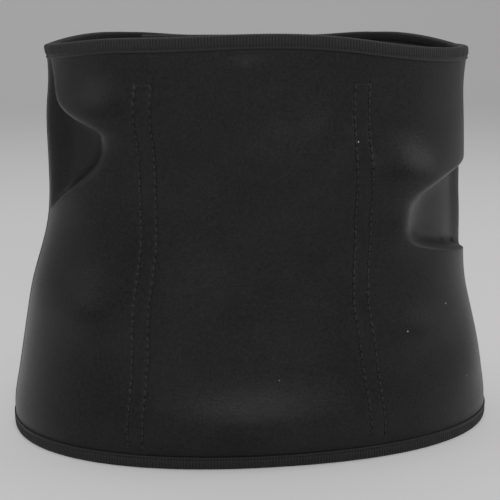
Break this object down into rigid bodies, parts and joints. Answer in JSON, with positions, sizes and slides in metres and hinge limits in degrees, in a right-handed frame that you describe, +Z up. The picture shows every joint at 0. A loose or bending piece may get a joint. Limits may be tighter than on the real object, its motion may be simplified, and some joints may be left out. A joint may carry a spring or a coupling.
{
  "type": "lumbar support belt",
  "caption": "Neoprene lumbar support belt with ribbed elastic edge binding, captive back stays and an overlapping hook-and-loop front, standing closed on its hem.",
  "frame": {"origin": "middle of the bounding box at the hem, on the surface the closed belt stands on", "axes": "+Z up from hem to rim, -Y out of the lumbar panel at the wearer's back, +Y out of the front closure, +X towards the right side seam seen from behind"},
  "size_m": [0.3316, 0.2031, 0.2619],
  "materials": {
    "jersey_face": "black nylon jersey, fine knit, matt with a faint sheen",
    "jersey_lining": "black polyester jersey lining, fine knit, matt",
    "neoprene_foam": "closed-cell black neoprene foam",
    "elastic_binding": "ribbed black elastic tape, folded over the edge, satin",
    "woven_tape": "black woven nylon tape, flat",
    "thread": "black polyester thread",
    "stay_steel": "flat spring steel",
    "stay_tip": "dipped rubbery tip, matt",
    "hook_tape": "black hook tape",
    "loop_tape": "black loop tape, fuzzy",
    "label": "blank white satin label"
  },
  "bodies": {
    "back": {"back_foam": "neoprene_foam", "back_face": "jersey_face", "back_lining": "jersey_lining", "channel_tape_left": "woven_tape", "channel_tape_right": "woven_tape", "stay_left": "stay_steel", "stay_right": "stay_steel", "stay_tips_left": "stay_tip", "stay_tips_right": "stay_tip", "channel_stitching_left": "thread", "channel_stitching_right": "thread", "top_binding_back": "elastic_binding", "hem_binding_back": "elastic_binding", "top_binding_thread_back": "thread", "hem_binding_thread_back": "thread", "side_seam_tape_left": "woven_tape", "side_seam_tape_right": "woven_tape", "side_seam_thread_left": "thread", "side_seam_thread_right": "thread", "care_label": "label"},
    "outer_wing": {"outer_wing_foam": "neoprene_foam", "outer_wing_face": "jersey_face", "outer_wing_lining": "jersey_lining", "outer_wing_top_binding": "elastic_binding", "outer_wing_hem_binding": "elastic_binding", "outer_wing_end_binding": "elastic_binding", "outer_wing_binding_thread": "thread", "hook_patch": "hook_tape", "hook_patch_stitching": "thread"},
    "under_wing": {"under_wing_foam": "neoprene_foam", "under_wing_face": "jersey_face", "under_wing_lining": "jersey_lining", "under_wing_top_binding": "elastic_binding", "under_wing_hem_binding": "elastic_binding", "under_wing_end_binding": "elastic_binding", "under_wing_binding_thread": "thread", "loop_patch": "loop_tape", "loop_patch_stitching": "thread"}
  },
  "joints": [
    {"name": "outer_wing_fold", "type": "hinge", "parent": "back", "child": "outer_wing", "pos_m": [-0.1673, 0.016, 0], "axis": [0.1112, 0, 0.9938], "range_deg": [0, 110]},
    {"name": "under_wing_fold", "type": "hinge", "parent": "back", "child": "under_wing", "pos_m": [0.1669, 0.016, 0], "axis": [0.0893, 0, -0.996], "range_deg": [0, 37]}
  ],
  "couplings": [
    {"joint": "under_wing_fold", "follows": "outer_wing_fold", "ratio": 0.3333}
  ]
}
